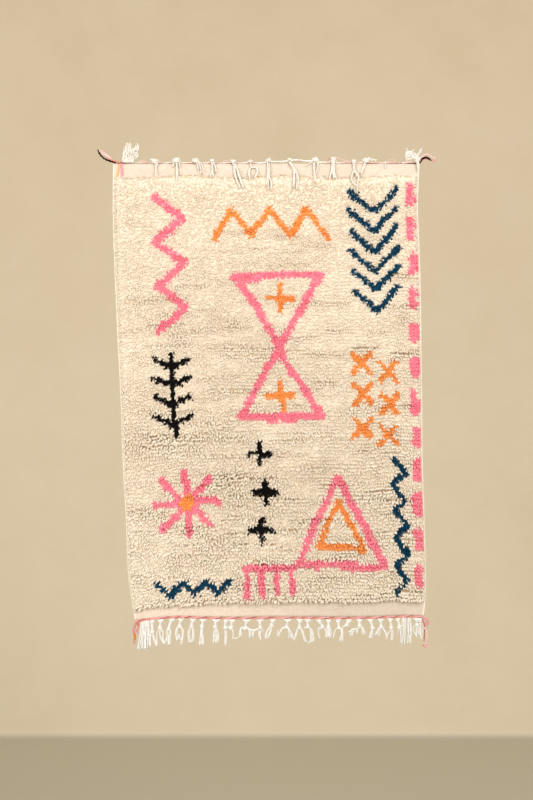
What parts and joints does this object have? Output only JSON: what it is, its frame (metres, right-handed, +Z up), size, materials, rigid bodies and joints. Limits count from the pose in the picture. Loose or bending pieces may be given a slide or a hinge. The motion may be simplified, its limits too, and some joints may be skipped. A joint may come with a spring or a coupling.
{
  "type": "azilal rug",
  "caption": "Hand-knotted cream shag wall rug with kelim ends, twined edge cords and knotted fringe, hanging flat by its top edge.",
  "frame": {"origin": "middle of the cloth's top edge, on the plane that its back hangs against", "axes": "+Z up along the hanging length, +X to the right of someone facing the pile, -Y out of the pile, +Y towards the wall"},
  "size_m": [1.138, 0.0396, 1.7083],
  "materials": {
    "pile_cream": "matte wool pile",
    "pile_pink": "matte wool pile",
    "pile_orange": "matte wool pile",
    "pile_navy": "matte wool pile",
    "pile_black": "matte wool pile",
    "kelim_cream": "flat-woven wool",
    "cord_pink": "twined wool yarn",
    "cord_dark": "twined wool yarn",
    "warp_white": "spun warp yarn"
  },
  "bodies": {
    "root": {"rug_body": "pile_cream", "top_cord": "cord_pink", "bottom_cord": "cord_pink", "top_fringe": "warp_white", "bottom_fringe": "warp_white", "top_left_bunch": "warp_white", "top_right_bunch": "warp_white"}
  },
  "joints": []
}
